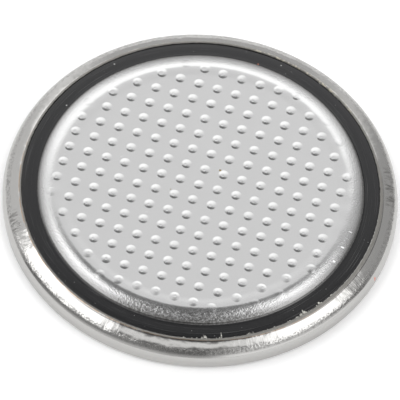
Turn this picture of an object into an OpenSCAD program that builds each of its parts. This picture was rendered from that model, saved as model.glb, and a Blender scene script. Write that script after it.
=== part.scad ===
// Lithium coin cell, 20 mm across and 1.6 mm thick, negative cap upwards.
// Origin: centre of the flat positive face, which lies on z = 0. +Z runs up through the cap.
// Every piece is a turned section, drawn as [radius, height] points and revolved about Z.

/* [Cell] */
// Outside diameter of the can
can_d = 20.0; // [12:0.5:24.5]
// Height from the positive face to the tops of the embossed dots
cell_h = 1.6; // [1.5:0.05:3.2]

/* [Positive can] */
// Thickness of the can's sheet
can_sheet = 0.20; // [0.15:0.01:0.25]
// Outside radius of the can's bottom corner
can_corner_r = 0.25; // [0.2:0.01:0.4]
// How far the crimp is folded in over the seal
crimp_w = 0.91; // [0.8:0.01:1.1]
// Outside radius of the tight bend at the crimp's outer edge
crimp_bend_r = 0.65; // [0.5:0.01:0.75]
// Slope of the sheet where the tight bend eases into the lip, in degrees
crimp_ease = 35; // [25:1:45]
// Slope of the sheet at the lip's edge, in degrees
lip_slope = 15; // [4:1:16]

/* [Negative cap] */
// Thickness of the cap's sheet
cap_sheet = 0.20; // [0.15:0.01:0.24]
// Height of the cap's flat face above the can's lip
cap_rise = 0.25; // [0.2:0.005:0.35]
// Width of the sloping shoulder round the flat face
shoulder_w = 0.95; // [0.75:0.01:1.2]
// Outside radius of the gentle curve that starts the shoulder
shoulder_r = 1.8; // [1:0.05:2]
// Steepest slope of the shoulder before its bend, in degrees
shoulder_slope = 15; // [10:1:18]
// Outside radius of the bend from the shoulder into the wall
cap_bend_r = 0.25; // [0.25:0.01:0.35]
// Radius in the corner between the cap's wall and its brim
brim_fillet_r = 0.10; // [0.05:0.01:0.15]

/* [Embossed dots] */
// Distance from one dot to the next, along both rows of the square grid
dot_pitch = 0.984; // [0.7:0.001:2]
// Diameter of a dot where it leaves the flat face
dot_d = 0.56; // [0.3:0.01:0.6]
// Height of a dot above the flat face
dot_h = 0.020; // [0.01:0.005:0.06]
// Sideways distance of the grid's nearest dot from the cell's axis
dot_shift_x = -0.14; // [-0.5:0.01:0.5]
// Forward distance of the grid's nearest dot from the cell's axis
dot_shift_y = 0.09; // [-0.5:0.01:0.5]

/* [Seal ring] */
// Thickness of the seal between the can's wall and the cap's skirt, and round its crimp
seal_wall = 0.15; // [0.1:0.01:0.2]
// Thickness of the seal's floor, under the cap's skirt
seal_floor = 0.15; // [0.1:0.01:0.2]
// Thickness of the seal's inner wall, inside the cap's skirt
seal_inner_wall = 0.20; // [0.1:0.01:0.3]
// Width of the open ring between the can's lip and the cap's wall
seal_gap = 0.78; // [0.6:0.01:1]
// Depth of the seal's open face below the can's lip, beside the cap
seal_dip = 0.02; // [0:0.01:0.05]
// Depth of the seal's open face below the can's lip, where it turns down under the lip
seal_tuck_dip = 0.08; // [0.05:0.01:0.1]
// Distance of that turn from the can's lip
seal_tuck = 0.15; // [0.1:0.01:0.2]
// Gap between the top of the seal's inner wall and the cap's inner corner
inner_wall_gap = 0.04; // [0.02:0.01:0.08]
// Width of the bead where the seal climbs the cap
bead_w = 0.14; // [0.08:0.01:0.2]
// Place on the cap's bend where the bead ends, in degrees above level
bead_angle = 48; // [20:1:60]

/* [Electrodes] */
// Thickness of the lithium disc
anode_t = 0.30; // [0.2:0.01:0.5]
// Thickness of the separator cloth
separator_t = 0.10; // [0.05:0.01:0.15]
// Depth of the separator's turned-down rim
separator_rim = 0.30; // [0.15:0.01:0.4]
// Thickness of the collector ring's sheet
collector_sheet = 0.10; // [0.05:0.01:0.15]
// Width of the collector ring's foot, which lies on the can's floor
collector_foot = 1.40; // [0.8:0.05:2.5]
// Depth of the pellet that stands out of the collector ring
pellet_proud = 0.22; // [0.1:0.01:0.3]
// Side clearance between the cap's wall, the separator and the collector ring
side_clearance = 0.12; // [0.05:0.01:0.2]

/* [Hidden] */
round_fn = 180;
dot_fn = 32;
arc_step = 5.5;

// Heights of the two faces that set all the others
flat_z = cell_h - dot_h;
lip_z = flat_z - cap_rise;

// Crimp: a gentle lip arc meets the tight bend where both slope by crimp_ease
can_r = can_d / 2;
lip_r = can_r - crimp_w;
bend_x = can_r - crimp_bend_r;
lip_arc_r = (crimp_w - crimp_bend_r * (1 - sin(crimp_ease))) / (sin(crimp_ease) - sin(lip_slope));
bend_z = lip_z - lip_arc_r * (cos(lip_slope) - cos(crimp_ease)) - crimp_bend_r * cos(crimp_ease);
lip_arc_x = bend_x + (crimp_bend_r - lip_arc_r) * sin(crimp_ease);
lip_arc_z = bend_z + (crimp_bend_r - lip_arc_r) * cos(crimp_ease);

// Cap: flat face, shoulder, wall, brim and a skirt that stands in the seal
wall_r = lip_r - seal_gap;
flat_r = wall_r - shoulder_w;
shoulder_end_x = flat_r + shoulder_r * sin(shoulder_slope);
shoulder_end_z = flat_z - shoulder_r * (1 - cos(shoulder_slope));
cap_bend_x = wall_r - cap_bend_r;
cone_end_x = cap_bend_x + cap_bend_r * sin(shoulder_slope);
cone_end_z = shoulder_end_z - (cone_end_x - shoulder_end_x) * tan(shoulder_slope);
cap_bend_z = cone_end_z - cap_bend_r * cos(shoulder_slope);
brim_corner_r = crimp_bend_r - can_sheet - seal_wall;
brim_z = bend_z + brim_corner_r;
skirt_r = bend_x + brim_corner_r;
skirt_z = can_sheet + seal_floor;
skirt_inner_r = skirt_r - cap_sheet;

// Electrodes: the stack fills the height between the can's floor and the cap's underside
anode_top = flat_z - cap_sheet;
separator_top = anode_top - anode_t;
pellet_top = separator_top - separator_t;
separator_r = wall_r - cap_sheet - side_clearance;
collector_r = separator_r - separator_t - side_clearance;
pellet_r = collector_r - collector_sheet;
foot_r = collector_r - collector_foot;

// Embossed dots: part of a ball, standing dot_h proud of the face over a circle dot_d wide
dot_ball_r = (pow(dot_d / 2, 2) + pow(dot_h, 2)) / (2 * dot_h);
dot_depth = dot_h + cap_sheet / 2;
dot_rows = ceil(flat_r / dot_pitch) + 1;
dot_sites = [
    for (i = [-dot_rows:dot_rows], j = [-dot_rows:dot_rows])
        let (p = [dot_shift_x + i * dot_pitch, dot_shift_y + j * dot_pitch])
            if (norm(p) <= flat_r) p
];

// Points on an arc about [x, z], from angle a to angle b, counted from level outwards
function arc(x, z, r, a, b) =
    let (n = max(1, ceil(abs(b - a) / arc_step)))
        [for (i = [0:n]) let (t = a + (b - a) * i / n) [x + r * cos(t), z + r * sin(t)]];

// The can's side from its bottom corner to its lip, inset by d from the outside
function can_side(d) = concat(
    arc(can_r - can_corner_r, can_corner_r, can_corner_r - d, -90, 0),
    arc(bend_x, bend_z, crimp_bend_r - d, 0, 90 - crimp_ease),
    arc(lip_arc_x, lip_arc_z, lip_arc_r - d, 90 - crimp_ease, 90 - lip_slope)
);

// The cap's shoulder from the flat face to where the seal meets it, inset by d
function cap_shoulder(d) = concat(
    arc(flat_r, flat_z - shoulder_r, shoulder_r - d, 90, 90 - shoulder_slope),
    arc(cap_bend_x, cap_bend_z, cap_bend_r - d, 90 - shoulder_slope, bead_angle)
);

// The cap's wall, brim and skirt corner below that, inset by d
function cap_wall(d) = concat(
    arc(cap_bend_x, cap_bend_z, cap_bend_r - d, bead_angle, 0),
    arc(wall_r + brim_fillet_r, brim_z + brim_fillet_r, brim_fillet_r + d, 180, 270),
    arc(bend_x, bend_z, brim_corner_r - d, 90, 0)
);

function reversed(list) = [for (i = [len(list) - 1:-1:0]) list[i]];

module turned(points) {
    rotate_extrude($fn = round_fn) polygon(points);
}

// A dot on a round stem that reaches down into the sheet, with the dot's top at height top
module dot_on_stem(top) {
    translate([0, 0, top - dot_ball_r])
        rotate_extrude($fn = dot_fn)
            intersection() {
                circle(dot_ball_r, $fn = 4 * dot_fn);
                translate([0, dot_ball_r - dot_depth]) square([dot_d / 2, 2 * dot_depth]);
            }
}

module positive_can() {
    color("silver")
        turned(concat([[0, 0]], can_side(0), reversed(can_side(can_sheet)), [[0, can_sheet]]));
}

module negative_cap() {
    section = concat(
        [[0, flat_z]],
        cap_shoulder(0),
        cap_wall(0),
        [[skirt_r, skirt_z], [skirt_inner_r, skirt_z]],
        reversed(cap_wall(cap_sheet)),
        reversed(cap_shoulder(cap_sheet)),
        [[0, anode_top]]
    );
    color("gainsboro")
        difference() {
            union() {
                turned(section);
                for (p = dot_sites) translate(p) dot_on_stem(cell_h);
            }
            for (p = dot_sites) translate(p) dot_on_stem(anode_top + dot_h);
        }
}

module seal_ring() {
    inner_r = skirt_inner_r - seal_inner_wall;
    inner_top = bend_z - inner_wall_gap;
    contact = cap_wall(0)[0];
    section = concat(
        [[contact.x + bead_w, lip_z - seal_dip], [lip_r - seal_tuck, lip_z - seal_tuck_dip]],
        reversed(can_side(can_sheet)),
        [[inner_r, can_sheet], [inner_r, inner_top], [skirt_inner_r, inner_top]],
        [[skirt_inner_r, skirt_z], [skirt_r, skirt_z]],
        reversed(cap_wall(0))
    );
    color([0.16, 0.16, 0.17]) turned(section);
}

module lithium_anode() {
    color("lightgray") translate([0, 0, separator_top]) cylinder(r = flat_r, h = anode_t, $fn = round_fn);
}

module separator() {
    rim_z = separator_top - separator_rim;
    section = [
        [0, pellet_top], [separator_r - separator_t, pellet_top], [separator_r - separator_t, rim_z],
        [separator_r, rim_z], [separator_r, separator_top], [0, separator_top]
    ];
    color("white") turned(section);
}

module cathode_pellet() {
    foot_top = can_sheet + collector_sheet;
    section = [
        [0, can_sheet], [foot_r, can_sheet], [foot_r, foot_top],
        [pellet_r, foot_top], [pellet_r, pellet_top], [0, pellet_top]
    ];
    color([0.1, 0.1, 0.1]) turned(section);
}

module collector_ring() {
    foot_top = can_sheet + collector_sheet;
    wall_top = pellet_top - pellet_proud;
    section = [
        [foot_r, can_sheet], [collector_r, can_sheet], [collector_r, wall_top],
        [pellet_r, wall_top], [pellet_r, foot_top], [foot_r, foot_top]
    ];
    color("lightsteelblue") turned(section);
}

positive_can();
seal_ring();
negative_cap();
lithium_anode();
separator();
cathode_pellet();
collector_ring();
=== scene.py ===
"""Looks of a lithium coin cell: turned steel can, plastic seal and dot-embossed steel cap."""

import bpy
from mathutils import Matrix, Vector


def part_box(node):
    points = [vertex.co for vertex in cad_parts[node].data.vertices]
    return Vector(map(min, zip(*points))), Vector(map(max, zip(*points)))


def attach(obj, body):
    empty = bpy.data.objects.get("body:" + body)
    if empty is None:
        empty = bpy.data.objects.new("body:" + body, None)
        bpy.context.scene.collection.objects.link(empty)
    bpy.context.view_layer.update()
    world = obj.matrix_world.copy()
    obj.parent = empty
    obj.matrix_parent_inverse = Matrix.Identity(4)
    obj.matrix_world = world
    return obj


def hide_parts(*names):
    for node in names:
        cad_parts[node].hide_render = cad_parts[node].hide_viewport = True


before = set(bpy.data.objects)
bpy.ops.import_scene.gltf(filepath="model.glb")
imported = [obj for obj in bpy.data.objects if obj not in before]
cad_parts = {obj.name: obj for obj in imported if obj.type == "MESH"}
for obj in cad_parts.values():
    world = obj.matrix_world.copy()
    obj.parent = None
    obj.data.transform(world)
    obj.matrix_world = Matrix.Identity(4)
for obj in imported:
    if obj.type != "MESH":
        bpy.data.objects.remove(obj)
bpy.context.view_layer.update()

import math

import bpy
import numpy as np
from mathutils import Matrix, Vector
from mathutils.geometry import delaunay_2d_cdt

bl_info = {
    "name": "Lithium coin cell",
    "version": (1, 0, 0),
    "blender": (4, 5, 0),
    "location": "3D View > Sidebar > Coin cell",
    "description": "Builds the finished surfaces of a flat lithium coin cell and its studio",
    "category": "Mesh",
}

MM = 0.001
SEED = 20
BODY = "root"
BRIM_FILLET = 0.1  # millimetres, between the cap's wall and its brim

# Directions on the lying cell, as the camera sees it.
FRONT = (0.26, -0.97, 0)
FRONT_LEFT = (-0.26, -0.97, 0)
RIGHT = (0.94, -0.34, 0)


# ---------------------------------------------------------------- sizes and colours

def linear(code):
    """An sRGB hex colour as linear red, green and blue."""
    parts = [int(code[i:i + 2], 16) / 255 for i in (1, 3, 5)]
    return [c / 12.92 if c <= 0.04045 else ((c + 0.055) / 1.055) ** 2.4 for c in parts]


def size_property(name, description, value):
    """A length, given in millimetres and kept in metres."""
    return bpy.props.FloatProperty(
        name=name, description=description, default=value * MM, precision=6,
        unit="LENGTH", subtype="DISTANCE")


def angle_property(name, description, degrees):
    """An angle, given in degrees and kept in radians."""
    return bpy.props.FloatProperty(
        name=name, description=description, default=math.radians(degrees),
        unit="ROTATION", subtype="ANGLE")


def colour_property(name, description, code):
    """A base colour, given as sRGB hex and kept linear."""
    return bpy.props.FloatVectorProperty(
        name=name, description=description, default=linear(code), size=3,
        min=0.0, max=1.0, subtype="COLOR")


CAN_LOW, CAN_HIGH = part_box("positive_can")
CAP_LOW, CAP_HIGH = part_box("negative_cap")
SEAL_LOW, SEAL_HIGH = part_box("seal_ring")
CAN_R = CAN_HIGH.x / MM
LIP_Z = CAN_HIGH.z / MM
CELL_H = CAP_HIGH.z / MM
SKIRT_Z = CAP_LOW.z / MM
SEAL_R = SEAL_HIGH.x / MM


class CellSizes(bpy.types.PropertyGroup):
    """Sizes of the cell's three outer pieces."""
    can_radius: size_property("Can radius", "Outside radius of the can's wall", CAN_R)
    can_sheet: size_property("Can sheet", "Thickness of the can's sheet", CAN_R - SEAL_R)
    can_corner: size_property("Can corner", "Outside radius of the can's bottom corner", 0.25)
    lip_height: size_property("Lip height", "Height of the can's lip", LIP_Z)
    crimp_width: size_property("Crimp width", "How far the crimp is folded in", 0.91)
    crimp_bend: size_property("Crimp bend", "Outside radius of the crimp's tight bend", 0.65)
    crimp_ease: angle_property("Crimp ease", "Slope where the tight bend eases into the lip", 35)
    lip_slope: angle_property("Lip slope", "Slope of the sheet at the lip's edge", 15)
    cell_height: size_property("Cell height", "Height to the tops of the dots", CELL_H)
    cap_sheet: size_property("Cap sheet", "Thickness of the cap's sheet", 0.20)
    seal_gap: size_property("Seal gap", "Width between the lip and the cap's wall", 0.78)
    shoulder_width: size_property("Shoulder width", "Width of the cap's shoulder", 0.95)
    shoulder_curve: size_property("Shoulder curve", "Radius that starts the shoulder", 1.8)
    shoulder_slope: angle_property("Shoulder slope", "Slope of the shoulder's middle", 15)
    cap_bend: size_property("Cap bend", "Radius from the shoulder into the wall", 0.25)
    bead_angle: angle_property("Bead angle", "Where on the cap's bend the seal ends", 48)
    seal_wall: size_property("Seal wall", "Thickness of the seal round the skirt", 0.15)
    dot_pitch: size_property("Dot pitch", "Distance between neighbouring dots", 0.984)
    dot_radius: size_property("Dot radius", "Radius of a dot at its foot", 0.27)
    dot_height: size_property("Dot height", "Height of a dot above the flat face", 0.020)
    dot_shift: bpy.props.FloatVectorProperty(
        name="Dot shift", description="Place of the dot nearest the axis", size=2,
        default=(-0.12 * MM, 0.05 * MM), precision=6, unit="LENGTH")


class CellColours(bpy.types.PropertyGroup):
    """Base colours of the cell's materials."""
    can: colour_property("Can", "Nickel plate on the can", "#b9b8b6")
    cap: colour_property("Cap", "Stainless sheet of the cap", "#c2c2c2")
    sheared: colour_property("Sheared edge", "Bare steel of the sheared lip", "#85837f")
    # A dark colour for handling grime, also laid as painted shade at the cap's edge and in dark lines by the
    # can's lip.
    grime_and_shade: colour_property("Grime", "Dark handling grime", "#4a4846")
    rust: colour_property("Rust", "Brown stain where the plating stops", "#a88664")
    stain: colour_property("Stain", "Small brown specks on the cap", "#9a8c72")
    seal: colour_property("Seal", "Moulded polypropylene of the seal", "#131315")
    flake: colour_property("Flake", "Stretched, whitened plastic at the lip", "#c9c8c0")
    crumb: colour_property("Crumbs", "Crumbs of dried residue on the lip", "#c2bba8")
    dust: colour_property("Dust", "Pale dust on the seal", "#b4b4b2")
    fibre: colour_property("Fibre", "Orange specks of dust", "#d9836a")
    lithium: colour_property("Lithium", "Rolled lithium", "#c2c4c8")
    cloth: colour_property("Cloth", "Separator cloth", "#ecebe6")
    pellet: colour_property("Pellet", "Manganese dioxide pellet", "#26262a")
    floor: colour_property("Floor", "Studio floor", "#f2f2f2")


class StageSettings(bpy.types.PropertyGroup):
    """Camera and studio light."""
    turn: angle_property("Turn", "Camera's turn about the cell", 14.9)
    elevation: angle_property("Elevation", "Camera's height above the horizon", 55.4)
    roll: angle_property("Roll", "Camera's turn about its own axis", 4.2)
    lens: bpy.props.FloatProperty(
        name="Lens", description="Focal length in millimetres", default=810.0, min=50.0)
    distance: bpy.props.FloatProperty(
        name="Distance", description="Camera's distance from its aim", default=0.4536,
        unit="LENGTH", subtype="DISTANCE")
    aim_back: size_property("Aim", "How far in front of the axis the camera aims", 0.70)


# ---------------------------------------------------------------- surfaces

def arc(centre, radius, start, stop, count):
    """Points on a circular arc in the radius-height plane, from one angle in degrees to another."""
    a = np.radians(np.linspace(start, stop, count))
    return np.column_stack([centre[0] + radius * np.cos(a), centre[1] + radius * np.sin(a)])


def line(start, stop, count):
    """Evenly spaced points from start to stop, without the last one."""
    return np.linspace(start, stop, count, endpoint=False)


def path_length(section):
    """Distance along a section, from its first point."""
    steps = np.hypot(*np.diff(section, axis=0).T)
    return np.concatenate([[0], np.cumsum(steps)])


def waves(angle, rng, low, high, count):
    """A smooth wave round the turn, mostly between -1 and 1: sines of whole-number frequencies."""
    frequency = rng.integers(low, high, count)[:, None]
    phase = rng.uniform(0, 2 * math.pi, count)[:, None]
    return np.sin(frequency * angle.ravel() + phase).sum(0).reshape(angle.shape) / math.sqrt(1.5 * count)


def smooth(value, low, high):
    """0 below low, 1 above high, and an even S between them."""
    t = np.clip((value - low) / (high - low), 0, 1)
    return t * t * (3 - 2 * t)


def lid(ring, inner, ring_id, inner_id):
    """Triangles, facing up, that cover a ring of points and the points inside it. The ring's points
    are numbered from ring_id and the others from inner_id."""
    flat = np.vstack([ring, inner])[:, :2]
    faces = np.array(delaunay_2d_cdt(flat.tolist(), [], [], 0, 1e-7, False)[2])
    return np.where(faces < len(ring), faces + ring_id, faces - len(ring) + inner_id)


def turned_mesh(name, radius, height, length, start=None, end=None):
    """A revolved surface. radius and height are grids of section point by turn. A section closes on
    itself, unless start and end give the points inside its first ring and its last: the first is
    then covered by a lid that faces down, and the last by one that faces up."""
    rings, turns = radius.shape
    angle = np.linspace(0, 2 * math.pi, turns, endpoint=False)
    x, y = radius * np.cos(angle), radius * np.sin(angle)
    points = np.stack([x, y, height], -1).reshape(-1, 3)
    skin = np.stack(np.broadcast_arrays(np.cos(angle), np.sin(angle), length[:, None]), -1).reshape(-1, 3)
    row = np.arange(rings if start is None else rings - 1)[:, None]
    column = np.arange(turns)
    after, beside = (row + 1) % rings, (column + 1) % turns
    faces = [np.stack([row * turns + column, row * turns + beside,
                       after * turns + beside, after * turns + column], -1).reshape(-1, 4)]
    if start is not None:
        count = rings * turns
        faces.append(lid(points[:turns], start, 0, count)[:, ::-1])
        faces.append(lid(points[-turns:], end, count - turns, count + len(start)))
        points = np.vstack([points, start, end])
        skin = np.vstack([skin, np.zeros((len(start) + len(end), 3))])
    mesh = bpy.data.meshes.new(name)
    fill_mesh(mesh, points * MM, faces)
    store = mesh.attributes.new("skin", "FLOAT_VECTOR", "POINT")
    store.data.foreach_set("vector", skin.astype(np.float32).ravel())
    return mesh


def fill_mesh(mesh, points, faces):
    """Puts points and groups of equal-sided faces into a mesh, all shaded smooth."""
    sides = np.concatenate([np.full(len(f), f.shape[1]) for f in faces])
    corners = np.concatenate([f.ravel() for f in faces])
    starts = np.concatenate([[0], np.cumsum(sides)[:-1]])
    mesh.vertices.add(len(points))
    mesh.vertices.foreach_set("co", np.asarray(points, np.float32).ravel())
    mesh.loops.add(len(corners))
    mesh.loops.foreach_set("vertex_index", corners.astype(np.int32))
    mesh.polygons.add(len(sides))
    mesh.polygons.foreach_set("loop_start", starts.astype(np.int32))
    mesh.polygons.foreach_set("loop_total", sides.astype(np.int32))
    mesh.polygons.foreach_set("use_smooth", np.ones(len(sides), bool))
    mesh.update(calc_edges=True)
    mesh.validate()


def add_piece(mesh, slot, material, *nodes):
    """Shows a mesh as a piece that rides with the cell, in place of the CAD nodes named. slot is not used."""
    piece = bpy.data.objects.new(mesh.name, mesh)
    bpy.context.scene.collection.objects.link(piece)
    mesh.materials.append(material)
    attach(piece, BODY)
    if nodes:
        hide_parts(*nodes)


class Sections:
    """The cell's key points, in millimetres, worked out from its sizes as the real sheet bends."""

    def __init__(self, s):
        mm = lambda value: value / MM
        self.can_r = mm(s.can_radius)
        self.can_sheet = mm(s.can_sheet)
        self.corner = mm(s.can_corner)
        self.lip_z = mm(s.lip_height)
        self.ease = math.degrees(s.crimp_ease)
        self.lip_slope = math.degrees(s.lip_slope)
        self.bend = mm(s.crimp_bend)
        self.lip_r = self.can_r - mm(s.crimp_width)
        ease, lip = s.crimp_ease, s.lip_slope
        self.bend_x = self.can_r - self.bend
        self.lip_arc = ((mm(s.crimp_width) - self.bend * (1 - math.sin(ease)))
                        / (math.sin(ease) - math.sin(lip)))
        self.bend_z = (self.lip_z - self.lip_arc * (math.cos(lip) - math.cos(ease))
                       - self.bend * math.cos(ease))
        self.lip_arc_x = self.bend_x + (self.bend - self.lip_arc) * math.sin(ease)
        self.lip_arc_z = self.bend_z + (self.bend - self.lip_arc) * math.cos(ease)
        self.cell_h = mm(s.cell_height)
        self.dot_h = mm(s.dot_height)
        self.flat_z = self.cell_h - self.dot_h
        self.cap_sheet = mm(s.cap_sheet)
        self.wall_r = self.lip_r - mm(s.seal_gap)
        self.flat_r = self.wall_r - mm(s.shoulder_width)
        self.curve = mm(s.shoulder_curve)
        self.slope = math.degrees(s.shoulder_slope)
        self.cap_bend = mm(s.cap_bend)
        self.bead = math.degrees(s.bead_angle)
        sine, cosine = math.sin(s.shoulder_slope), math.cos(s.shoulder_slope)
        end_x = self.flat_r + self.curve * sine
        end_z = self.flat_z - self.curve * (1 - cosine)
        self.cap_bend_x = self.wall_r - self.cap_bend
        cone_x = self.cap_bend_x + self.cap_bend * sine
        cone_z = end_z - (cone_x - end_x) * math.tan(s.shoulder_slope)
        self.cap_bend_z = cone_z - self.cap_bend * cosine
        self.brim_corner = self.bend - self.can_sheet - mm(s.seal_wall)
        self.brim_z = self.bend_z + self.brim_corner
        self.skirt_r = self.bend_x + self.brim_corner

    def can_side(self, inset, fine):
        """The can's side from bottom corner to lip: corner arc, tight bend and lip arc."""
        return np.vstack([
            arc((self.can_r - self.corner, self.corner), self.corner - inset, -90, 0, 4 + 8 * fine),
            arc((self.bend_x, self.bend_z), self.bend - inset, 0, 90 - self.ease, 5 + 20 * fine),
            arc((self.lip_arc_x, self.lip_arc_z), self.lip_arc - inset,
                90 - self.ease, 90 - self.lip_slope, 5 + 22 * fine)[1:],
        ])

    def cap_side(self, inset, fine):
        """The cap from the flat's edge to its skirt: shoulder, bend, wall, brim and corner."""
        return np.vstack([
            arc((self.flat_r, self.flat_z - self.curve), self.curve - inset,
                90, 90 - self.slope, 5 + 9 * fine),
            arc((self.cap_bend_x, self.cap_bend_z), self.cap_bend - inset,
                90 - self.slope, 0, 5 + 9 * fine),
            arc((self.wall_r + BRIM_FILLET, self.brim_z + BRIM_FILLET), BRIM_FILLET + inset, 180, 270, 4),
            arc((self.bend_x, self.bend_z), self.brim_corner - inset, 90, 0, 4),
        ])


def plus_points(size, thick, depth, reach):
    """Points on the can's underside with a shallow plus pressed into it: a square grid within reach
    of the axis, raised by depth where it lies inside either bar of the plus, with soft edges."""
    step = np.arange(-size - 0.15, size + 0.16, 0.05)
    x, y = (k.ravel() for k in np.meshgrid(step, step))
    bars = [np.maximum(np.abs(a) - size, np.abs(b) - thick) for a, b in ((x, y), (y, x))]
    points = np.column_stack([x, y, depth * smooth(-np.minimum(*bars), -0.06, 0.06)])
    return points[np.hypot(x, y) < reach]


def can_mesh(s):
    """The can: a drawn cup whose crimp and rolled-over, ragged lip vary a little round the turn."""
    c = Sections(s)
    rng = np.random.default_rng(SEED)
    turns = 720
    angle = np.linspace(0, 2 * math.pi, turns, endpoint=False)
    floor = line((3, 0), (c.can_r - c.corner, 0), 8)
    outside = c.can_side(0, 1)
    inside = c.can_side(c.can_sheet, 0)[::-1]
    top, under = outside[-1], inside[0]
    roll = top + np.array([(-0.012, -0.006), (-0.03, -0.018), (-0.04, -0.04), (-0.04, -0.08)])
    back = np.array([[c.can_r - c.corner, c.can_sheet], [4.0, c.can_sheet]])
    section = np.vstack([floor, outside, roll, under[None], inside[1:], back])
    radius = np.repeat(section[:, :1], turns, 1)
    height = np.repeat(section[:, 1:], turns, 1)
    first = len(floor)
    last = first + len(outside) + len(roll)
    rise = np.zeros(len(section))
    rise[first:last] = smooth(section[first:last, 1], c.bend_z + 0.2, c.lip_z)
    rise *= section[:, 0] < c.can_r - 0.05
    edge = smooth(-section[:, 0], -c.lip_r - 0.10, -c.lip_r) * (rise > 0)
    radius -= edge[:, None] * 0.010 * waves(angle, rng, 40, 330, 60)
    height -= rise[:, None] * 0.004 * (1.5 + waves(angle, rng, 2, 9, 6))
    height -= edge[:, None] * 0.004 * (1.5 + waves(angle, rng, 30, 260, 40))
    mark = plus_points(1.5, 0.22, 0.03, 2.9)
    axis = np.array([[0, 0, c.can_sheet]])
    return turned_mesh("can_shell", radius, height, path_length(section), mark, axis)


def dot_points(c, s, rng):
    """Centres of the embossed dots, then the places, heights and wear of points on them. A dot is a
    flat top inside a smooth flank, on rings whose centres drift from its foot to its peak, so
    that one flank is the steeper. The dots lie on a square grid and fade out near the rim, and
    each is a little off its place and height. Their tops are worn."""
    reach = 1 + int(c.wall_r * MM / s.dot_pitch)
    steps = np.stack(np.meshgrid(*2 * [np.arange(-reach, reach + 1)]), -1).reshape(-1, 2)
    centre = (np.array(s.dot_shift) + s.dot_pitch * steps) / MM
    far = np.hypot(*centre.T)
    centre, far = centre[far < c.flat_r + 0.42], far[far < c.flat_r + 0.42]
    centre = centre + rng.normal(0, 0.006, centre.shape)
    size = s.dot_radius / MM
    away = np.array([0, 0.1, 0.2, 0.28, 0.34, 0.44, 0.54, 0.64, 0.74, 0.84, 0.93, 1.0, 1.07])
    angle = np.linspace(0, 2 * math.pi, 24, endpoint=False)
    ring = np.stack([away[:, None] * np.cos(angle), away[:, None] * np.sin(angle)], -1)
    ring = np.vstack([ring[0, :1], ring[1:].reshape(-1, 2)])
    away = np.concatenate([away[:1], np.repeat(away[1:], 24)])
    drift = np.clip(1 - away, 0, 1)[:, None] * (-0.24, -0.38)
    front = (smooth(centre @ FRONT[:2], 2.5, 5.0)
             * smooth(far, c.flat_r - 1.2, c.flat_r - 0.5))
    lean = rng.normal(0, 0.05, (2, len(centre), 1))
    tilt = lean[0] * ring[:, 0] + lean[1] * ring[:, 1]
    share = 1 - 0.15 * rng.random(len(centre))
    back = smooth(-(centre @ FRONT[:2]), -1.0, 3.0)
    share = (share * (1 - 0.3 * (1 - back) * smooth(far, c.flat_r - 0.8, c.flat_r - 0.2))
             * (1 - smooth(far, c.flat_r - 0.1, c.flat_r + 0.45)))[:, None]
    dent = 0.12 * np.exp(-(np.hypot(ring[:, 0] - 4 * lean[1], ring[:, 1] - 4 * lean[0]) / 0.2) ** 2)
    rise = share * (np.clip((1 - away) / (1 - 0.32), 0, 1) * (1 + tilt) - dent)
    wear = (1 - smooth(away, 0.4, 0.62)) * smooth(share, 0.2, 0.6)
    place = centre[:, None] + size * (ring + (1 - 1.6 * front)[:, None, None] * drift)
    return centre, place.reshape(-1, 2), c.dot_h * rise.ravel(), wear.ravel()


def cap_mesh(s):
    """The cap: a pressed sheet, with embossed dots over its flat and the start of its shoulder. The
    flat rises a hair towards its edge. Its top is rings of points clear of the dots, and the points
    of the dots themselves."""
    c = Sections(s)
    rng = np.random.default_rng(SEED + 1)
    turns = 480
    angle = np.linspace(0, 2 * math.pi, turns, endpoint=False)
    side = c.cap_side(0, 2)
    brow = np.count_nonzero(side[:, 0] < c.cap_bend_x)
    under = c.cap_side(c.cap_sheet, 0)[::-1]
    foot = np.array([[c.skirt_r, SKIRT_Z], [c.skirt_r - c.cap_sheet, SKIRT_Z]])
    section = np.vstack([side[brow:], foot, under])[::-1]
    radius = np.repeat(section[:, :1], turns, 1)
    height = np.repeat(section[:, 1:], turns, 1)
    rings = np.concatenate([line(c.flat_r - 0.7, c.flat_r, 14), side[:brow, 0]])
    x, y = (np.outer(rings, k).ravel() for k in (np.cos(angle), np.sin(angle)))
    centre, dots, rise, wear = dot_points(c, s, rng)
    near = np.min([np.hypot(x - a, y - b) for a, b in centre], 0)
    clear = near > 1.16 * s.dot_radius / MM
    top = np.vstack([np.column_stack([x, y])[clear], dots])
    far = np.hypot(*top.T)
    z = np.interp(far, side[:, 0][:brow + 1], side[:, 1][:brow + 1])
    z[-len(dots):] += rise
    turn = np.arctan2(top[:, 1], top[:, 0])
    uneven = 0.8 * waves(turn, rng, 20, 60, 20) * (1 - smooth(far, c.flat_r + 0.1, c.cap_bend_x - 0.05))
    z -= 0.002 * smooth(far, c.flat_r - 0.5, c.flat_r) * (1 + uneven)
    z += (0.009 * smooth(far, c.flat_r - 0.55, c.flat_r - 0.1)
          * (1 - smooth(far, c.flat_r - 0.05, c.flat_r + 0.4)))
    z = np.minimum(z, c.flat_z + c.dot_h - 1e-4)
    height[(section[:, 1] > c.brim_z + 0.2) & (section[:, 0] > c.cap_bend_x - 0.01)] -= 0.002
    mark = np.concatenate([np.zeros(len(far) - len(wear)), wear])
    kept = far < section[-1, 0] - 0.005
    top = np.column_stack([top, z])[kept]
    axis = np.array([[0, 0, c.flat_z - c.cap_sheet]])
    mesh = turned_mesh("cap_shell", radius, height, path_length(section), axis, top)
    store = mesh.attributes.new("wear", "FLOAT", "POINT")
    store.data.foreach_set("value", np.concatenate([
        np.zeros(len(store.data) - len(top)), mark[kept]]).astype(np.float32))
    return mesh


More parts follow.
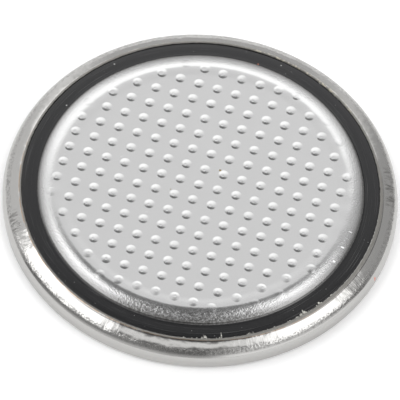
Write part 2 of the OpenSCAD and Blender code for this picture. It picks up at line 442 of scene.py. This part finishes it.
def seal_face(c):
    """The seal's open face, from a bead that climbs the cap's bend down to where it tucks under the
    can's lip."""
    contact = arc((c.cap_bend_x, c.cap_bend_z), c.cap_bend, c.bead, 0, 2)[0]
    low = c.lip_z - 0.02
    rows = np.array([contact, (contact[0] + 0.03, low + 0.4 * (contact[1] - low)),
                     (contact[0] + 0.08, low + 0.1 * (contact[1] - low)), (contact[0] + 0.14, low),
                     (c.lip_r - 0.3, c.lip_z - 0.04), (c.lip_r - 0.1, c.lip_z - 0.06),
                     (c.lip_r + 0.02, c.lip_z - 0.09)])
    fine = np.linspace(0, len(rows) - 1, 37)
    return np.column_stack([np.interp(fine, np.arange(len(rows)), rows[:, k]) for k in (0, 1)])


def seal_mesh(s):
    """The seal: a moulded ring between can and cap, its open face a little wavy round the turn."""
    c = Sections(s)
    rng = np.random.default_rng(SEED + 2)
    turns = 720
    angle = np.linspace(0, 2 * math.pi, turns, endpoint=False)
    face = seal_face(c)
    bend = arc((c.cap_bend_x, c.cap_bend_z), c.cap_bend - 0.004, c.bead, 0, 5)[1:]
    lining = c.can_side(c.can_sheet + 0.001, 0)[::-1]
    corner = arc((c.bend_x, c.bend_z), c.brim_corner, 0, 90, 4)
    fillet = arc((c.wall_r + BRIM_FILLET, c.brim_z + BRIM_FILLET), BRIM_FILLET, 270, 180, 4)
    inner = c.skirt_r - c.cap_sheet
    base = np.array([[inner - 0.2, c.can_sheet], [inner - 0.2, c.bend_z - 0.04], [inner, c.bend_z - 0.04],
                     [inner, SKIRT_Z], [c.skirt_r, SKIRT_Z]])
    section = np.vstack([face, lining, base, corner, fillet, bend[::-1]])[::-1]
    radius = np.repeat(section[:, :1], turns, 1)
    height = np.repeat(section[:, 1:], turns, 1)
    shown = np.zeros(len(section))
    shown[-len(face) + 3:-3] = 1
    height -= shown[:, None] * 0.003 * (1.5 + waves(angle, rng, 2, 14, 8))
    return turned_mesh("seal_gasket", radius, height, path_length(section))


def flash_mesh(s):
    """Torn flash of the seal, squeezed out past the can's lip on one side: a thin ring, sunk in the
    seal, whose inner edge reaches out as pointed flakes. A flake's reach falls from its middle to
    nothing at its half width."""
    c = Sections(s)
    rng = np.random.default_rng(SEED + 3)
    turns = 2160
    angle = np.linspace(0, 2 * math.pi, turns, endpoint=False)
    middle = np.radians(np.concatenate([
        rng.uniform(-78, -22, 44), rng.uniform(48, 78, 16), [-36.5, -37.8, -70.5, -73, -65, -56, -30.5]]))
    half = np.radians(np.concatenate([
        rng.uniform(0.3, 0.9, 44), rng.uniform(0.8, 2.0, 16), [1.0, 0.8, 1.2, 0.6, 0.25, 1.6, 0.7]]))
    depth = np.concatenate([
        rng.uniform(0.04, 0.12, 44), rng.uniform(0.04, 0.07, 16), [0.3, 0.2, 0.26, 0.12, 0.4, 0.13, 0.2]])
    off = np.abs((angle - middle[:, None] + math.pi) % (2 * math.pi) - math.pi) / half[:, None]
    reach = (depth[:, None] * np.clip(1 - off, 0, 1) ** 0.7).max(0)
    reach *= 1 + 0.35 * waves(angle, rng, 300, 700, 30)
    face = seal_face(c)
    root = np.full(turns, c.lip_r + 0.01)
    tip = root - np.clip(reach, 0.005, 0.5)
    share = smooth(reach, 0.0, 0.03)
    low = np.interp(root, *face.T)
    lift = np.interp(tip, *face.T) - 0.012 + 0.03 * share
    middle_z = (low + lift) / 2 + 0.012 * share
    radius = np.stack([root, (root + tip) / 2, tip, tip, (root + tip) / 2, root])
    height = np.stack([low - 0.03, middle_z - 0.025, lift - 0.012, lift, middle_z,
                       low + 0.025 * share - 0.012])
    return turned_mesh("seal_flash", radius, height, np.arange(6.0))


# ---------------------------------------------------------------- materials

# Painted glint: the white laid on three nicks of the cap's shoulder.
GLINT_WHITE = (1, 1, 1)
SMUDGES = ((-149, 4.5), (21, 8.0))  # on the crimp: azimuth and spread in degrees
RESIDUE = (72, 24)                  # crumbs on the lip, in the same way


def add(tree, kind, inputs=None, **settings):
    """Adds a shader node with its settings. An input is a value, or a node or socket to link from;
    a node stands for its first output in use."""
    node = tree.nodes.new(kind)
    for key, value in settings.items():
        setattr(node, key, value)
    for key, value in (inputs or {}).items():
        if isinstance(value, bpy.types.Node):
            value = next(socket for socket in value.outputs if socket.enabled)
        if isinstance(value, bpy.types.NodeSocket):
            tree.links.new(value, node.inputs[key])
        else:
            node.inputs[key].default_value = value
    return node


def empty_tree(owner):
    """The node tree of a material or a world, with nothing in it."""
    owner.use_nodes = True
    owner.node_tree.nodes.clear()
    return owner.node_tree


def new_material(name, colour, metallic, roughness):
    """A node material with a Principled surface; gives the material, its tree and that surface."""
    material = bpy.data.materials.new(name)
    tree = empty_tree(material)
    surface = add(tree, "ShaderNodeBsdfPrincipled", {
        "Base Color": (*colour, 1), "Metallic": metallic, "Roughness": roughness})
    add(tree, "ShaderNodeOutputMaterial", {"Surface": surface})
    return material, tree, surface


def grain(tree, size, detail=2.0, turn=0.0, cut=None):
    """Noise in Object coordinates whose cells measure size, three lengths in millimetres, turned
    about Z by an angle in degrees. A cut, a low and a high, makes it patches: 0 below the low and 1
    above the high."""
    place = add(tree, "ShaderNodeTexCoord")
    turned = add(tree, "ShaderNodeVectorRotate", {
        "Vector": place.outputs["Object"], "Angle": math.radians(turn)}, rotation_type="Z_AXIS")
    scaled = add(tree, "ShaderNodeVectorMath", {0: turned, 1: [1 / (MM * k) for k in size]},
                 operation="MULTIPLY")
    noise = add(tree, "ShaderNodeTexNoise", {"Vector": scaled, "Scale": 1.0, "Detail": detail})
    if cut is None:
        return noise
    return add(tree, "ShaderNodeMapRange", {"Value": noise, "From Min": cut[0], "From Max": cut[1]})


def turned_grain(tree, round_turn, along, detail=2.0, cut=None):
    """Noise that follows a turned piece: its cells measure round_turn degrees round the turn and
    along millimetres down the section. A cut makes it patches, as in grain."""
    skin = add(tree, "ShaderNodeAttribute", attribute_name="skin")
    around = 1 / math.radians(round_turn)
    scaled = add(tree, "ShaderNodeVectorMath", {0: skin.outputs["Vector"], 1: (around, around, 1 / along)},
                 operation="MULTIPLY")
    noise = add(tree, "ShaderNodeTexNoise", {"Vector": scaled, "Scale": 1.0, "Detail": detail})
    if cut is None:
        return noise
    return add(tree, "ShaderNodeMapRange", {"Value": noise, "From Min": cut[0], "From Max": cut[1]})


def within(tree, value, low, high, soft):
    """1 where a value is between low and high and 0 outside, with smooth edges soft wide."""
    rise = add(tree, "ShaderNodeMapRange", {
        "Value": value, "From Min": low - soft / 2, "From Max": low + soft / 2},
        interpolation_type="SMOOTHSTEP")
    fall = add(tree, "ShaderNodeMapRange", {
        "Value": value, "From Min": high + soft / 2, "From Max": high - soft / 2},
        interpolation_type="SMOOTHSTEP")
    return add(tree, "ShaderNodeMath", {0: rise, 1: fall}, operation="MULTIPLY")


def overlap(tree, *masks):
    """Where all of the masks are at work at once: their product. A number among them sets how
    strongly."""
    first, *rest = masks
    for mask in rest:
        first = add(tree, "ShaderNodeMath", {0: first, 1: mask}, operation="MULTIPLY")
    return first


def radius_at(tree):
    """Distance from the cell's axis."""
    place = add(tree, "ShaderNodeTexCoord")
    level = add(tree, "ShaderNodeVectorMath", {0: place.outputs["Object"], 1: (1, 1, 0)},
                operation="MULTIPLY")
    return add(tree, "ShaderNodeVectorMath", {0: level}, operation="LENGTH").outputs["Value"]


def beside(tree, azimuth, spread):
    """1 near one azimuth round the turn and 0 past spread from it, both in degrees."""
    skin = add(tree, "ShaderNodeAttribute", attribute_name="skin").outputs["Vector"]
    a = math.radians(azimuth)
    toward = add(tree, "ShaderNodeVectorMath", {
        0: skin, 1: (math.cos(a), math.sin(a), 0)}, operation="DOT_PRODUCT")
    return add(tree, "ShaderNodeMapRange", {
        "Value": toward.outputs["Value"], "From Min": math.cos(math.radians(spread)),
        "From Max": math.cos(math.radians(0.6 * spread))})


def speck(tree, centre, size, stretch=(1, 1, 1)):
    """1 within a small ragged spot, given its centre and radius in millimetres."""
    place = add(tree, "ShaderNodeTexCoord")
    offset = add(tree, "ShaderNodeVectorMath", {
        0: place.outputs["Object"], 1: [k * MM for k in centre]}, operation="SUBTRACT")
    shaped = add(tree, "ShaderNodeVectorMath", {0: offset, 1: stretch}, operation="MULTIPLY")
    away = add(tree, "ShaderNodeVectorMath", {0: shaped}, operation="LENGTH").outputs["Value"]
    ragged = add(tree, "ShaderNodeMath", {
        0: grain(tree, (0.05, 0.05, 0.05)), 1: size * MM, 2: away}, operation="MULTIPLY_ADD")
    return add(tree, "ShaderNodeMapRange", {
        "Value": ragged, "From Min": size * MM * 1.5, "From Max": size * MM * 1.2})


def dust(tree, spacing, size, share):
    """Sparse round specks: one in each cell of a Voronoi pattern, in the given share of the cells.
    spacing and size are in millimetres."""
    place = add(tree, "ShaderNodeTexCoord")
    cells = add(tree, "ShaderNodeTexVoronoi", {
        "Vector": place.outputs["Object"], "Scale": 1 / (spacing * MM)})
    near = add(tree, "ShaderNodeMapRange", {
        "Value": cells.outputs["Distance"], "From Min": size / spacing, "From Max": 0.6 * size / spacing})
    pick = add(tree, "ShaderNodeSeparateColor", {"Color": cells.outputs["Color"]})
    chosen = add(tree, "ShaderNodeMath", {0: pick, 1: 1 - share}, operation="GREATER_THAN")
    return overlap(tree, near, chosen)


def paint(tree, surface, socket, layers, under=None):
    """Lays colours or values over one socket of the surface, each where its mask is 1. They start
    from the node under, or from the socket's own value."""
    start = surface.inputs[socket]
    kind = "RGBA" if start.type == "RGBA" else "FLOAT"
    if under is None:
        under = tuple(start.default_value) if kind == "RGBA" else start.default_value
    for mask, value in layers:
        over = (*value, 1) if isinstance(value, (tuple, list)) else value
        mix = add(tree, "ShaderNodeMix", {"Factor": mask}, data_type=kind)
        slots = [k for k in mix.inputs if k.enabled and k.name in "AB"]
        for slot, content in zip(slots, (under, over)):
            if isinstance(content, (bpy.types.Node, bpy.types.NodeSocket)):
                tree.links.new(getattr(content, "outputs", [content])[0], slot)
            else:
                slot.default_value = content
        under = next(k for k in mix.outputs if k.enabled)
    tree.links.new(under, start)


def relief(tree, surface, layers):
    """Bumps over one another: each a height, its depth in millimetres and where it is at work."""
    bump = None
    for height, depth, mask in layers:
        inputs = {"Height": height, "Distance": depth * MM, "Strength": mask}
        if bump:
            inputs["Normal"] = bump
        bump = add(tree, "ShaderNodeBump", inputs)
    tree.links.new(bump.outputs[0], surface.inputs["Normal"])


def cap_steel(colours):
    """Stainless steel sheet, bright rolled and pressed: a soft mirror with a few fine handling
    scratches. The shoulder, stretched by the press, has an orange-peel grain, gets duller towards
    its bend and is smeared at the front. Towards the seal the cap is painted darker, as painted
    shade, and three nicks on the shoulder are painted white, as painted glints. Real scratches and
    orange-peel grains are about 0.02 mm wide, and are drawn coarser so that they show."""
    material, tree, surface = new_material("stainless_sheet_pressed", colours.cap, 1.0, 0.16)
    r = radius_at(tree)
    shoulder = add(tree, "ShaderNodeMapRange", {
        "Value": r, "From Min": 7.35 * MM, "From Max": 7.75 * MM})
    bend = add(tree, "ShaderNodeMapRange", {
        "Value": r, "From Min": 7.4 * MM, "From Max": 8.0 * MM, "To Max": 0.12})
    lines = add(tree, "ShaderNodeMath", {
        0: grain(tree, (1.6, 0.05, 1.6), 1.0, 29, cut=(0.74, 0.79)),
        1: grain(tree, (1.2, 0.045, 1.2), 1.0, -41, cut=(0.75, 0.80))}, operation="MAXIMUM")
    cloud = add(tree, "ShaderNodeMapRange", {
        "Value": grain(tree, (1.6, 1.6, 1.6), 4.0), "From Min": 0.3, "From Max": 0.7,
        "To Min": 0.12, "To Max": 0.16})
    worn = add(tree, "ShaderNodeMath", {0: lines, 1: 0.12, 2: cloud}, operation="MULTIPLY_ADD")
    dull = add(tree, "ShaderNodeMath", {0: worn, 1: bend})
    rubbed = add(tree, "ShaderNodeAttribute", attribute_name="wear").outputs["Fac"]
    rough = add(tree, "ShaderNodeMath", {0: rubbed, 1: 0.1, 2: dull}, operation="MULTIPLY_ADD")
    tree.links.new(rough.outputs[0], surface.inputs["Roughness"])
    # Painted shade: the cap's colour darkens towards its edge, where it meets the seal.
    grime_and_shade = add(tree, "ShaderNodeMapRange", {
        "Value": r, "From Min": 7.86 * MM, "From Max": 8.22 * MM, "To Max": 0.7})
    place = add(tree, "ShaderNodeTexCoord").outputs["Object"]
    toward = add(tree, "ShaderNodeVectorMath", {0: place, 1: FRONT}, operation="DOT_PRODUCT")
    front = add(tree, "ShaderNodeMapRange", {
        "Value": toward.outputs["Value"], "From Min": 6.5 * MM, "From Max": 7.4 * MM, "To Min": 0.7})
    smear = add(tree, "ShaderNodeMapRange", {
        "Value": toward.outputs["Value"], "From Min": 6.9 * MM, "From Max": 7.6 * MM, "To Max": 0.6})
    mottle = overlap(tree, shoulder, smear, grain(tree, (0.12, 0.12, 0.12), 3.0, cut=(0.38, 0.6)))
    paint(tree, surface, "Base Color", [
        (grime_and_shade, tuple(colours.grime_and_shade)), (mottle, tuple(colours.grime_and_shade)),
        # Painted glints: three nicks on the shoulder, painted white.
        (speck(tree, (7.94, -0.05, 1.49), 0.07, (0.6, 1.7, 1)), GLINT_WHITE),
        (speck(tree, (7.86, -1.08, 1.49), 0.09, (0.7, 1.6, 1)), GLINT_WHITE),
        (speck(tree, (7.72, -2.02, 1.49), 0.08), GLINT_WHITE),
        (speck(tree, (0.61, 1.23, 1.58), 0.08), tuple(colours.stain)),
        (speck(tree, (-1.38, -0.72, 1.58), 0.03), tuple(colours.stain))])
    relief(tree, surface, [
        (grain(tree, (0.11, 0.11, 0.11), 3.0), 0.0006, 0.5),
        (grain(tree, (0.09, 0.09, 0.09), 3.0), 0.012, overlap(tree, shoulder, front)),
        (lines, 0.001, 0.5)])
    return material


def can_steel(colours):
    """Nickel-plated steel, deep drawn and crimped: bright plate with fine stretch lines up the side,
    pitted in a broken band where the crimping tool pressed. The sheared lip is bare and dull, with
    a brown line where the plating stops and crumbs of dried residue on one side, and the crimp is
    smudged in two places. Real pits and stretch lines are finer, and are drawn coarser so that they
    show."""
    material, tree, surface = new_material("nickel_plated_steel_drawn", colours.can, 1.0, 0.15)
    r = radius_at(tree)
    place = add(tree, "ShaderNodeTexCoord")
    z = add(tree, "ShaderNodeSeparateXYZ", {0: place.outputs["Object"]}).outputs["Z"]
    skin = add(tree, "ShaderNodeAttribute", attribute_name="skin").outputs["Vector"]
    streak = turned_grain(tree, 0.45, 1.6, 3.0)
    above = add(tree, "ShaderNodeMapRange", {"Value": z, "From Min": 0.9 * MM, "From Max": 1.0 * MM})
    right = add(tree, "ShaderNodeVectorMath", {0: skin, 1: RIGHT}, operation="DOT_PRODUCT")
    wide = add(tree, "ShaderNodeMapRange", {
        "Value": right.outputs["Value"], "From Min": 0.6, "From Max": 0.95})
    edge = add(tree, "ShaderNodeMath", {0: wide, 1: -0.085 * MM, 2: r}, operation="MULTIPLY_ADD")
    lip = overlap(tree, within(tree, edge, 9.0 * MM, 9.165 * MM, 0.015 * MM), above)
    pressed = within(tree, z, 0.93 * MM, 1.10 * MM, 0.06 * MM)
    front = add(tree, "ShaderNodeVectorMath", {0: skin, 1: FRONT_LEFT}, operation="DOT_PRODUCT")
    front = add(tree, "ShaderNodeMapRange", {
        "Value": front.outputs["Value"], "From Min": 0.15, "From Max": 0.5})
    stain = overlap(tree, within(tree, edge, 9.16 * MM, 9.19 * MM, 0.012 * MM), front,
                    turned_grain(tree, 3.0, 5.0, cut=(0.35, 0.5)))
    smudges = [overlap(tree, beside(tree, azimuth, spread), above,
                       turned_grain(tree, 0.7, 0.5, 3.0, cut=(0.48, 0.56)),
                       within(tree, r, 9.35 * MM, 9.85 * MM, 0.15 * MM))
               for azimuth, spread in SMUDGES]
    crumbs = overlap(tree, beside(tree, *RESIDUE), above, within(tree, r, 9.06 * MM, 9.17 * MM, 0.02 * MM),
                     turned_grain(tree, 0.9, 0.3, 2.0, cut=(0.5, 0.58)))
    smudge = add(tree, "ShaderNodeMath", {0: smudges[0], 1: smudges[1]}, operation="MAXIMUM")
    pits = overlap(tree, pressed, grain(tree, (0.11, 0.11, 0.07), 4.0, cut=(0.48, 0.58)))
    paint(tree, surface, "Base Color", [
        (lip, tuple(colours.sheared)),
        (overlap(tree, stain, 0.75), tuple(colours.rust)),
        # A thin dark line painted just outside the lip's edge, on the right side.
        (overlap(tree, within(tree, edge, 9.17 * MM, 9.215 * MM, 0.015 * MM), wide, above, 0.7),
         tuple(colours.grime_and_shade)),
        # Painted shadow: a dark line just outside the lip at the front, between the lip and the crimp.
        (overlap(tree, within(tree, r, 9.185 * MM, 9.26 * MM, 0.02 * MM), beside(tree, -88, 34), above, 0.6),
         tuple(colours.grime_and_shade)),
        (overlap(tree, smudge, 0.6), tuple(colours.grime_and_shade)),
        (overlap(tree, pits, 0.4), tuple(colours.grime_and_shade)),
        (overlap(tree, crumbs, 0.8), tuple(colours.crumb)),
        (speck(tree, (9.845, -1.754, 0.6), 0.09, (1, 1, 0.5)), tuple(colours.fibre))])
    cloud = add(tree, "ShaderNodeMapRange", {
        "Value": grain(tree, (1.4, 1.4, 1.4), 3.0), "From Min": 0.3, "From Max": 0.7,
        "To Min": 0.10, "To Max": 0.17})
    paint(tree, surface, "Metallic", [(crumbs, 0.0)])
    paint(tree, surface, "Roughness", [
        (lip, 0.45), (overlap(tree, pits, 0.8), 0.4), (smudge, 0.4)], cloud)
    relief(tree, surface, [
        (streak, 0.003, above), (grain(tree, (0.7, 0.7, 0.7)), 0.03, above),
        (grain(tree, (0.16, 0.16, 0.10), 4.0), 0.002, 0.5),
        (grain(tree, (0.09, 0.09, 0.06), 3.0), 0.008, pressed)])
    return material


def seal_plastic(colours):
    """Polypropylene, injection moulded and squeezed by the crimp: satin near-black with fine
    concentric flow lines and a little pale dust. Its lines and dust are drawn coarser than they are,
    so that they show."""
    material, tree, surface = new_material("polypropylene_moulded", colours.seal, 0.0, 0.27)
    surface.inputs["Specular IOR Level"].default_value = 0.38
    rings = turned_grain(tree, 70, 0.04)
    lines = turned_grain(tree, 28, 0.028, 3.0, cut=(0.62, 0.72))
    paint(tree, surface, "Base Color", [
        (overlap(tree, lines, 0.16), tuple(colours.dust)),
        (overlap(tree, dust(tree, 0.5, 0.05, 0.16), 0.8), tuple(colours.dust)),
        (overlap(tree, dust(tree, 0.23, 0.022, 0.18), 0.5), tuple(colours.dust)),
        (speck(tree, (0.31, 8.33, 1.35), 0.06), tuple(colours.fibre))])
    relief(tree, surface, [(rings, 0.006, 0.8), (lines, 0.003, 0.5)])
    return material


def torn_plastic(colours):
    """The seal's polypropylene torn thin: whitened by stretching and a little see-through."""
    material, tree, surface = new_material("polypropylene_torn", colours.flake, 0.0, 0.55)
    paint(tree, surface, "Base Color", [
        (grain(tree, (0.12, 0.12, 0.12), cut=(0.4, 0.65)), tuple(colours.seal))])
    surface.inputs["Subsurface Weight"].default_value = 0.1
    surface.inputs["Subsurface Radius"].default_value = (0.1 * MM, 0.1 * MM, 0.1 * MM)
    return material


def rolled_sheet(colours):
    """Stainless sheet as rolled, for the collector ring: satin metal with a fine grain."""
    material, tree, surface = new_material("stainless_sheet_rolled", colours.cap, 1.0, 0.35)
    satin = add(tree, "ShaderNodeMapRange", {
        "Value": grain(tree, (0.5, 0.04, 0.5), 3.0), "From Min": 0.3, "From Max": 0.7,
        "To Min": 0.3, "To Max": 0.42})
    tree.links.new(satin.outputs[0], surface.inputs["Roughness"])
    return material


def rolled_lithium(colours):
    """Lithium foil, rolled and pressed: a soft, dull metal with a matt grey bloom."""
    material, tree, surface = new_material("lithium_rolled", colours.lithium, 1.0, 0.55)
    bloom = add(tree, "ShaderNodeMapRange", {
        "Value": grain(tree, (0.6, 0.6, 0.6), 4.0), "From Min": 0.3, "From Max": 0.7,
        "To Min": 0.45, "To Max": 0.65})
    tree.links.new(bloom.outputs[0], surface.inputs["Roughness"])
    return material


def separator_cloth(colours):
    """Non-woven polypropylene cloth: matt white fibres laid at random. The fibres are about 0.02 mm
    thick, and are drawn coarser so that they show."""
    material, tree, surface = new_material("polypropylene_non_woven", colours.cloth, 0.0, 0.9)
    fibres = add(tree, "ShaderNodeBump", {
        "Height": grain(tree, (0.3, 0.04, 0.3), 3.0), "Distance": 0.02 * MM, "Strength": 0.7})
    tree.links.new(fibres.outputs[0], surface.inputs["Normal"])
    return material


def pressed_pellet(colours):
    """Manganese dioxide and graphite powder, pressed: matt black and finely grained. The grains
    are drawn coarser than they are, so that they show."""
    material, tree, surface = new_material("manganese_dioxide_pressed", colours.pellet, 0.0, 0.8)
    grains = add(tree, "ShaderNodeBump", {
        "Height": grain(tree, (0.08, 0.08, 0.08), 3.0), "Distance": 0.01 * MM, "Strength": 0.7})
    tree.links.new(grains.outputs[0], surface.inputs["Normal"])
    return material


# ---------------------------------------------------------------- studio

def add_camera(stage, aim_z):
    """The camera, looking down at the cell from in front, with a very long lens."""
    right = Vector((math.cos(stage.turn), math.sin(stage.turn), 0))
    away = Vector((-math.sin(stage.turn), math.cos(stage.turn), 0))
    up = Vector((0, 0, 1))
    back = up * math.sin(stage.elevation) - away * math.cos(stage.elevation)
    over = up * math.cos(stage.elevation) + away * math.sin(stage.elevation)
    side = right * math.cos(stage.roll) + over * math.sin(stage.roll)
    over = over * math.cos(stage.roll) - right * math.sin(stage.roll)
    data = bpy.data.cameras.new("camera")
    data.lens = stage.lens
    data.clip_start = 0.01
    data.clip_end = 5.0
    camera = bpy.data.objects.new("camera", data)
    bpy.context.scene.collection.objects.link(camera)
    place = Matrix((side, over, back)).transposed().to_4x4()
    place.translation = Vector((0, 0, aim_z)) - away * stage.aim_back + back * stage.distance
    camera.matrix_world = place
    bpy.context.scene.camera = camera


ROOM_LIGHT = 0.2
PAPER_LIFT = 0.2
PAPER_HALF = 1.5         # metres
COVERED_RADIUS = 9.7     # millimetres, the paper under the cell


def add_studio_light(stage):
    """The studio's light: a dim room and soft boxes round it, each with a brightness and two spans
    of from, to and how soft the ends are. A direction is named by where a mirror must lean to show
    it to the camera: arch is the angle up from the horizon behind and over the top, lean is the
    mirror's tilt from level, and fan the side to which it tilts, from 0 at the front. Every angle is
    in degrees."""
    world = bpy.data.worlds.new("studio_light")
    tree = empty_tree(world)
    place = add(tree, "ShaderNodeTexCoord")
    turned = add(tree, "ShaderNodeVectorRotate", {
        "Vector": place.outputs["Generated"], "Angle": -stage.turn}, rotation_type="Z_AXIS")
    right, away, up = add(tree, "ShaderNodeSeparateXYZ", {0: turned}).outputs
    view = (0, -math.cos(stage.elevation), math.sin(stage.elevation))
    both = add(tree, "ShaderNodeVectorMath", {0: turned, 1: view})
    mirror = add(tree, "ShaderNodeVectorMath", {0: both}, operation="NORMALIZE")
    across, back, level = add(tree, "ShaderNodeSeparateXYZ", {0: mirror}).outputs
    front = add(tree, "ShaderNodeMath", {0: back, 1: -1.0}, operation="MULTIPLY")
    angles = {"arch": ("ARCTAN2", up, away), "width": ("ARCSINE", right, 0.0),
              "lean": ("ARCCOSINE", level, 0.0), "fan": ("ARCTAN2", across, front)}
    found = {}
    for name, (operation, first, second) in angles.items():
        angle = add(tree, "ShaderNodeMath", {0: first, 1: second}, operation=operation)
        found[name] = add(tree, "ShaderNodeMath", {0: angle}, operation="DEGREES")
    boxes = (
        (1.75, "arch", (30, 50.3, 7), "width", (-24, 21, 15)),
        (0.88, "arch", (50.3, 61.5, 4), "width", (-24, 21, 15)),
        (0.05, "lean", (3, 12, 3), "fan", (-75, 75, 8)),
        (0.16, "lean", (3, 12, 3), "fan", (25, 60, 8)),
        (2.2, "lean", (13, 37, 4), "fan", (-64, -24, 4)),
        (2.2, "lean", (12, 37, 5), "fan", (22, 55, 11)),
        (1.0, "lean", (21.5, 29.5, 3), "fan", (-22, 22, 3)),
        (0.5, "arch", (-30, 30, 8), "width", (-26, 26, 12)),
        (0.7, "arch", (-30, 78, 16), "width", (-90, -20, 14)),
        (0.35, "arch", (-30, 78, 16), "width", (20, 90, 14)),
        (0.75, "arch", (120, 178, 8), "width", (14, 90, 14)),
        (0.15, "arch", (120, 178, 8), "width", (-90, -12, 14)),
        (0.5, "arch", (158, 200, 40), "width", (-90, 90, 1)),
        (0.9, "arch", (-130, -35, 30), "width", (-50, 50, 40)),
    )
    total = ROOM_LIGHT
    for level, first, span, second, reach in boxes:
        shape = overlap(tree, within(tree, found[first], *span), within(tree, found[second], *reach))
        total = add(tree, "ShaderNodeMath", {0: shape, 1: level, 2: total}, operation="MULTIPLY_ADD")
    path = add(tree, "ShaderNodeLightPath")
    seen = add(tree, "ShaderNodeMix", {
        "Factor": path.outputs["Is Camera Ray"], "A": total, "B": 1.0}, data_type="FLOAT")
    light = add(tree, "ShaderNodeBackground", {"Color": (1, 1, 1, 1), "Strength": seen})
    add(tree, "ShaderNodeOutputWorld", {"Surface": light})
    bpy.context.scene.world = world


def add_floor(colours):
    """A wide sheet of white paper. It is lit like any surface and lifted a little where it is looked
    at, mirrored or seen through. It is clear from beneath, and where the cell covers it, so that
    the cell's underside can be lit and seen."""
    material = bpy.data.materials.new("paper_floor")
    tree = empty_tree(material)
    matt = add(tree, "ShaderNodeBsdfDiffuse", {"Color": (*colours.floor, 1)})
    path = add(tree, "ShaderNodeLightPath")
    mirrored = add(tree, "ShaderNodeMath", {
        0: path.outputs["Is Glossy Ray"], 1: path.outputs["Is Transmission Ray"]}, operation="MAXIMUM")
    seen = add(tree, "ShaderNodeMath", {0: path.outputs["Is Camera Ray"], 1: mirrored}, operation="MAXIMUM")
    lift = add(tree, "ShaderNodeMath", {0: seen, 1: PAPER_LIFT}, operation="MULTIPLY")
    glow = add(tree, "ShaderNodeEmission", {"Color": (1, 1, 1, 1), "Strength": lift})
    both = add(tree, "ShaderNodeAddShader", {0: matt, 1: glow})
    clear = add(tree, "ShaderNodeBsdfTransparent")
    side = add(tree, "ShaderNodeNewGeometry")
    under = add(tree, "ShaderNodeMath", {0: radius_at(tree), 1: COVERED_RADIUS * MM}, operation="LESS_THAN")
    hidden = add(tree, "ShaderNodeMath", {0: side.outputs["Backfacing"], 1: under}, operation="MAXIMUM")
    mix = add(tree, "ShaderNodeMixShader", {0: hidden, 1: both, 2: clear})
    add(tree, "ShaderNodeOutputMaterial", {"Surface": mix})
    mesh = bpy.data.meshes.new("floor")
    half = PAPER_HALF
    corners = np.array([[-half, -half, 0], [half, -half, 0], [half, half, 0], [-half, half, 0]])
    fill_mesh(mesh, corners, [np.array([[0, 1, 2, 3]])])
    mesh.materials.append(material)
    floor = bpy.data.objects.new("floor", mesh)
    bpy.context.scene.collection.objects.link(floor)


# ---------------------------------------------------------------- operators

class COINCELL_OT_can(bpy.types.Operator):
    """Build the crimped can"""
    bl_idname = "coincell.can"
    bl_label = "Can"

    def execute(self, context):
        mesh = can_mesh(context.scene.cell_sizes)
        add_piece(mesh, "can_steel", can_steel(context.scene.cell_colours), "positive_can")
        return {"FINISHED"}


class COINCELL_OT_cap(bpy.types.Operator):
    """Build the dot-embossed cap"""
    bl_idname = "coincell.cap"
    bl_label = "Cap"

    def execute(self, context):
        mesh = cap_mesh(context.scene.cell_sizes)
        add_piece(mesh, "cap_steel", cap_steel(context.scene.cell_colours), "negative_cap")
        return {"FINISHED"}


class COINCELL_OT_seal(bpy.types.Operator):
    """Build the plastic seal and its torn flash"""
    bl_idname = "coincell.seal"
    bl_label = "Seal"

    def execute(self, context):
        mesh = seal_mesh(context.scene.cell_sizes)
        add_piece(mesh, "seal_plastic", seal_plastic(context.scene.cell_colours), "seal_ring")
        flash = flash_mesh(context.scene.cell_sizes)
        add_piece(flash, "", torn_plastic(context.scene.cell_colours))
        return {"FINISHED"}


class COINCELL_OT_electrodes(bpy.types.Operator):
    """Finish the sealed electrode stack"""
    bl_idname = "coincell.electrodes"
    bl_label = "Electrodes"

    def execute(self, context):
        colours = context.scene.cell_colours
        finishes = {"lithium_anode": rolled_lithium, "separator": separator_cloth,
                    "cathode_pellet": pressed_pellet, "collector_ring": rolled_sheet}
        for node, finish in finishes.items():
            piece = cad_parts[node]
            piece.data.materials.clear()
            piece.data.materials.append(finish(colours))
        return {"FINISHED"}


class COINCELL_OT_stage(bpy.types.Operator):
    """Set up the floor, the light and the camera"""
    bl_idname = "coincell.stage"
    bl_label = "Stage"

    def execute(self, context):
        stage = context.scene.cell_stage
        add_floor(context.scene.cell_colours)
        add_studio_light(stage)
        add_camera(stage, context.scene.cell_sizes.lip_height)
        context.scene.view_settings.view_transform = "Standard"
        return {"FINISHED"}


STEPS = (COINCELL_OT_can, COINCELL_OT_cap, COINCELL_OT_seal, COINCELL_OT_electrodes, COINCELL_OT_stage)


class COINCELL_PT_panel(bpy.types.Panel):
    """Lists the cell's building steps"""
    bl_idname = "COINCELL_PT_panel"
    bl_label = "Coin cell"
    bl_space_type = "VIEW_3D"
    bl_region_type = "UI"
    bl_category = "Coin cell"

    def draw(self, context):
        for step in STEPS:
            self.layout.operator(step.bl_idname)


GROUPS = {"cell_sizes": CellSizes, "cell_colours": CellColours, "cell_stage": StageSettings}


def register():
    for item in (*GROUPS.values(), *STEPS, COINCELL_PT_panel):
        bpy.utils.register_class(item)
    for name, group in GROUPS.items():
        setattr(bpy.types.Scene, name, bpy.props.PointerProperty(type=group))


def unregister():
    for name in GROUPS:
        delattr(bpy.types.Scene, name)
    for item in (COINCELL_PT_panel, *reversed(STEPS), *reversed(GROUPS.values())):
        bpy.utils.unregister_class(item)


def build():
    """Registers the add-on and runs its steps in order."""
    register()
    for step in STEPS:
        group, name = step.bl_idname.split(".")
        getattr(getattr(bpy.ops, group), name)()


if __name__ == "__main__":
    build()
